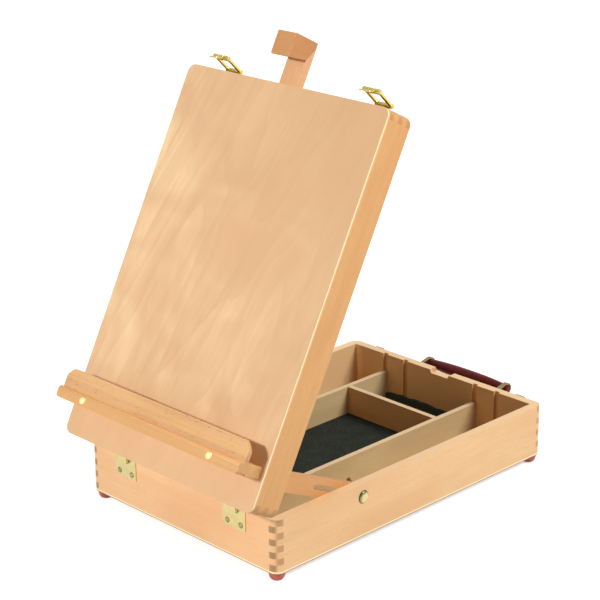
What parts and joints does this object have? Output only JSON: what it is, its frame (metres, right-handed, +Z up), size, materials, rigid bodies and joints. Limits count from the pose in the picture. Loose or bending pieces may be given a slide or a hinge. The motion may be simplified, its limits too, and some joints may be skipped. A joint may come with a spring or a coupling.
{
  "type": "box easel",
  "caption": "Wooden box easel: a hinged lid opens into a sloping panel with canvas ledge, sliding hooked mast, slotted stays, frame latches, lift-out dividers and carrying handle.",
  "frame": {"origin": "on the surface it stands on, under the middle of the opened easel's footprint", "axes": "+Z up; X along the lid's hinge; +Y from the hinge towards the carrying handle, so the drawing side faces -Y"},
  "size_m": [0.2864, 0.4898, 0.4907],
  "materials": {
    "beech": "satin clear lacquer",
    "lid_beech": "satin clear lacquer",
    "plywood": "satin clear lacquer",
    "ledge_wood": "satin clear lacquer",
    "stay_wood": "satin clear lacquer",
    "mast_wood": "satin clear lacquer",
    "divider_wood": "matt",
    "brass": "polished",
    "felt": "short pile",
    "grip": "gloss stain",
    "foot": "matt"
  },
  "bodies": {
    "base": {"base_panel": "plywood", "base_front_wall": "beech", "base_back_wall": "beech", "base_left_wall": "beech", "base_right_wall": "beech", "feet": "foot", "felt_front": "felt", "felt_rear": "felt", "hinge_leaf_base_left": "brass", "hinge_leaf_base_right": "brass", "hinge_pins": "brass", "hinge_screws_base": "brass", "catch_left": "brass", "catch_right": "brass", "catch_screws": "brass", "handle_brackets": "brass", "handle_pins": "brass", "handle_screws": "brass", "stay_bolts": "brass"},
    "divider_left": {"divider_left": "divider_wood"},
    "divider_right": {"divider_right": "divider_wood"},
    "divider_cross": {"divider_cross": "divider_wood"},
    "lid": {"lid_panel": "plywood", "lid_front_wall": "lid_beech", "lid_back_wall": "lid_beech", "lid_left_wall": "lid_beech", "lid_right_wall": "lid_beech", "hinge_leaf_lid_left": "brass", "hinge_leaf_lid_right": "brass", "hinge_screws_lid": "brass", "ledge_shelf": "ledge_wood", "ledge_lip": "ledge_wood", "ledge_pins": "brass", "mast_rail_left": "ledge_wood", "mast_rail_right": "ledge_wood", "mast_bridge": "brass", "mast_bridge_screws": "brass", "stay_pivot_screws": "brass", "stay_pivot_washers": "brass", "latch_plate_left": "brass", "latch_plate_right": "brass", "latch_pins": "brass", "latch_screws": "brass"},
    "mast": {"mast": "mast_wood", "mast_hook": "mast_wood"},
    "mast_lock": {"mast_lock": "brass"},
    "latch_frame_left": {"latch_frame_left": "brass", "latch_lever_pin_left": "brass"},
    "latch_frame_right": {"latch_frame_right": "brass", "latch_lever_pin_right": "brass"},
    "latch_lever_left": {"latch_lever_left": "brass"},
    "latch_lever_right": {"latch_lever_right": "brass"},
    "handle": {"handle_grip": "grip", "handle_straps": "brass"},
    "stay_washer_left": {"stay_washer_left": "brass"},
    "stay_washer_right": {"stay_washer_right": "brass"},
    "stay_arm_left": {"stay_arm_left": "stay_wood"},
    "stay_arm_right": {"stay_arm_right": "stay_wood"},
    "wing_nut_left": {"wing_nut_left": "brass"},
    "wing_nut_right": {"wing_nut_right": "brass"}
  },
  "joints": [
    {"name": "lid_hinge", "type": "hinge", "parent": "base", "child": "lid", "pos_m": [0, -0.2025, 0.06715], "axis": [1, 0, 0], "range_deg": [-62, 8]},
    {"name": "mast_slide", "type": "slide", "parent": "lid", "child": "mast", "axis": [0, 0.4695, 0.8829], "range_m": [-0.0265, 0.2]},
    {"name": "mast_lock_turn", "type": "hinge", "parent": "lid", "child": "mast_lock", "pos_m": [0, -0.07264, 0.3543], "axis": [0, 0.8829, -0.4695], "range_deg": [0, 180]},
    {"name": "handle_swing", "type": "hinge", "parent": "base", "child": "handle", "pos_m": [0, 0.2065, 0.047], "axis": [1, 0, 0], "range_deg": [-75, 75]},
    {"name": "latch_left_swing", "type": "hinge", "parent": "lid", "child": "latch_frame_left", "pos_m": [-0.105, -0.01547, 0.43093], "axis": [1, 0, 0], "range_deg": [-163, 5]},
    {"name": "latch_left_lever", "type": "hinge", "parent": "latch_frame_left", "child": "latch_lever_left", "pos_m": [-0.105, -0.0328, 0.44825], "axis": [1, 0, 0], "range_deg": [-30, 30]},
    {"name": "latch_right_swing", "type": "hinge", "parent": "lid", "child": "latch_frame_right", "pos_m": [0.105, -0.01547, 0.43093], "axis": [1, 0, 0], "range_deg": [-163, 5]},
    {"name": "latch_right_lever", "type": "hinge", "parent": "latch_frame_right", "child": "latch_lever_right", "pos_m": [0.105, -0.0328, 0.44825], "axis": [1, 0, 0], "range_deg": [-30, 30]},
    {"name": "stay_left_swing", "type": "hinge", "parent": "base", "child": "stay_washer_left", "pos_m": [-0.1261, -0.08, 0.0525], "axis": [1, 0, 0], "range_deg": [-0.6, 3.6]},
    {"name": "stay_left_slide", "type": "slide", "parent": "stay_washer_left", "child": "stay_arm_left", "axis": [0, 0.9063, -0.4226], "range_m": [-0.0055, 0.0415]},
    {"name": "wing_nut_left_turn", "type": "hinge", "parent": "base", "child": "wing_nut_left", "pos_m": [-0.118, -0.08, 0.0525], "axis": [1, 0, 0], "range_deg": [0, 180]},
    {"name": "stay_right_swing", "type": "hinge", "parent": "base", "child": "stay_washer_right", "pos_m": [0.1261, -0.08, 0.0525], "axis": [1, 0, 0], "range_deg": [-0.6, 3.6]},
    {"name": "stay_right_slide", "type": "slide", "parent": "stay_washer_right", "child": "stay_arm_right", "axis": [0, 0.9063, -0.4226], "range_m": [-0.0055, 0.0415]},
    {"name": "wing_nut_right_turn", "type": "hinge", "parent": "base", "child": "wing_nut_right", "pos_m": [0.118, -0.08, 0.0525], "axis": [-1, 0, 0], "range_deg": [0, 180]},
    {"name": "divider_left_lift", "type": "slide", "parent": "base", "child": "divider_left", "axis": [0, 0, 1], "range_m": [0, 0.02]},
    {"name": "divider_right_lift", "type": "slide", "parent": "base", "child": "divider_right", "axis": [0, 0, 1], "range_m": [0, 0.02]},
    {"name": "divider_cross_lift", "type": "slide", "parent": "base", "child": "divider_cross", "axis": [0, 0, 1], "range_m": [0, 0.02]}
  ],
  "couplings": [
    {"joint": "stay_left_swing", "follows": "lid_hinge", "ratio": -0.056},
    {"joint": "stay_left_slide", "follows": "lid_hinge", "m_per_rad": -0.038},
    {"joint": "stay_right_swing", "follows": "lid_hinge", "ratio": -0.056},
    {"joint": "stay_right_slide", "follows": "lid_hinge", "m_per_rad": -0.038}
  ]
}
